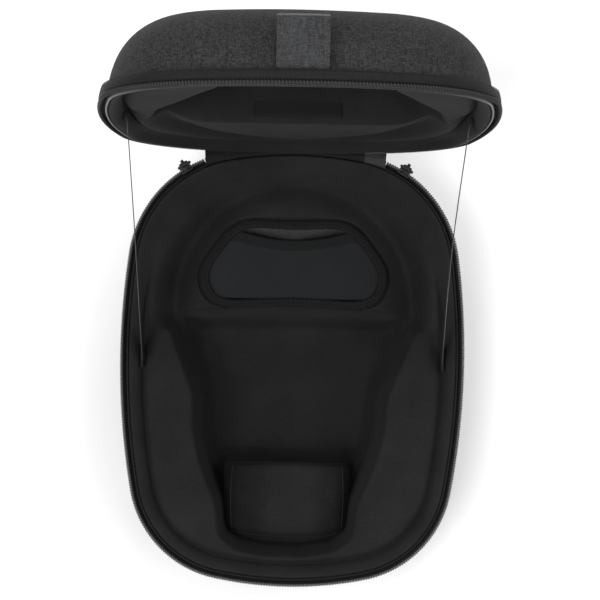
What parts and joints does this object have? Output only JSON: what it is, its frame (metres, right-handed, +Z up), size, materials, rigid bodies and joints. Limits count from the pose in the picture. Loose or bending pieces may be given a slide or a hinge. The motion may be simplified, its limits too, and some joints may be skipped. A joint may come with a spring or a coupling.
{
  "type": "headphone carrying case",
  "caption": "Hard-shell zipped carrying case with a hinged lid, a moulded lining for a headphone, an accessory pocket and a carry loop.",
  "frame": {"origin": "centre of the base's flat underside, midway along the rim's length and width", "axes": "+X to the right seen from the front edge, +Y towards the hinge, +Z up; the lid stands open at a right angle"},
  "size_m": [0.21, 0.3055, 0.3295],
  "materials": {
    "cover_fabric": "heather woven polyester",
    "moulded_foam": "moulded EVA foam",
    "lining": "brushed jersey",
    "ribbed_lining": "ribbed stretch jersey",
    "zip_tape": "woven twill tape",
    "zip_coil": "satin nylon",
    "welt_cord": "smooth piping",
    "hinge_fabric": "coated woven",
    "binding_tape": "stitched binding",
    "neoprene": "jersey-faced neoprene",
    "stay_webbing": "flat woven ribbon",
    "loop_webbing": "heather webbing",
    "label_weave": "plain woven label",
    "slider_metal": "satin black lacquer",
    "pull_rubber": "matt moulded"
  },
  "bodies": {
    "base": {"base_shell": "moulded_foam", "base_fabric": "cover_fabric", "base_zip_band": "zip_tape", "base_zip_coil": "zip_coil", "base_welt": "welt_cord", "base_rim_facing": "lining", "base_insert": "lining", "hinge_leaf_base": "hinge_fabric", "stay_tab_base_right": "stay_webbing", "stay_tab_base_left": "stay_webbing", "zip_stops_base": "zip_coil", "pocket_pouch": "lining", "pocket_binding": "binding_tape", "pocket_flap": "neoprene", "tray_bolster": "ribbed_lining"},
    "lid": {"lid_shell": "moulded_foam", "lid_fabric": "cover_fabric", "lid_zip_band": "zip_tape", "lid_zip_coil": "zip_coil", "lid_welt": "welt_cord", "lid_rim_facing": "lining", "lid_insert": "lining", "hinge_leaf_lid": "hinge_fabric", "stay_tab_lid_right": "stay_webbing", "stay_tab_lid_left": "stay_webbing", "zip_stops_lid": "zip_coil", "lid_stay_right": "stay_webbing", "lid_stay_left": "stay_webbing", "carry_loop": "loop_webbing", "lid_label": "label_weave"},
    "slider_right": {"zip_slider_right": "slider_metal"},
    "pull_right": {"pull_link_right": "slider_metal", "pull_tab_right": "pull_rubber"},
    "slider_left": {"zip_slider_left": "slider_metal"},
    "pull_left": {"pull_link_left": "slider_metal", "pull_tab_left": "pull_rubber"}
  },
  "joints": [
    {"name": "lid_hinge", "type": "hinge", "parent": "base", "child": "lid", "pos_m": [0, 0.1295, 0.066], "axis": [1, 0, 0], "range_deg": [0, 90], "deforming": ["lid_stay_right", "lid_stay_left"]},
    {"name": "slider_travel_right", "type": "hinge", "parent": "base", "child": "slider_right", "pos_m": [0.02846, 0.05826, 0.066], "axis": [0, 0, -1], "range_deg": [0, 48]},
    {"name": "pull_swing_right", "type": "hinge", "parent": "slider_right", "child": "pull_right", "pos_m": [0.06873, 0.12271, 0.066], "axis": [0.848, -0.5299, 0], "range_deg": [0, 90]},
    {"name": "slider_travel_left", "type": "hinge", "parent": "base", "child": "slider_left", "pos_m": [-0.02846, 0.05826, 0.066], "axis": [0, 0, 1], "range_deg": [0, 48]},
    {"name": "pull_swing_left", "type": "hinge", "parent": "slider_left", "child": "pull_left", "pos_m": [-0.06873, 0.12271, 0.066], "axis": [0.848, 0.5299, 0], "range_deg": [0, 90]}
  ]
}
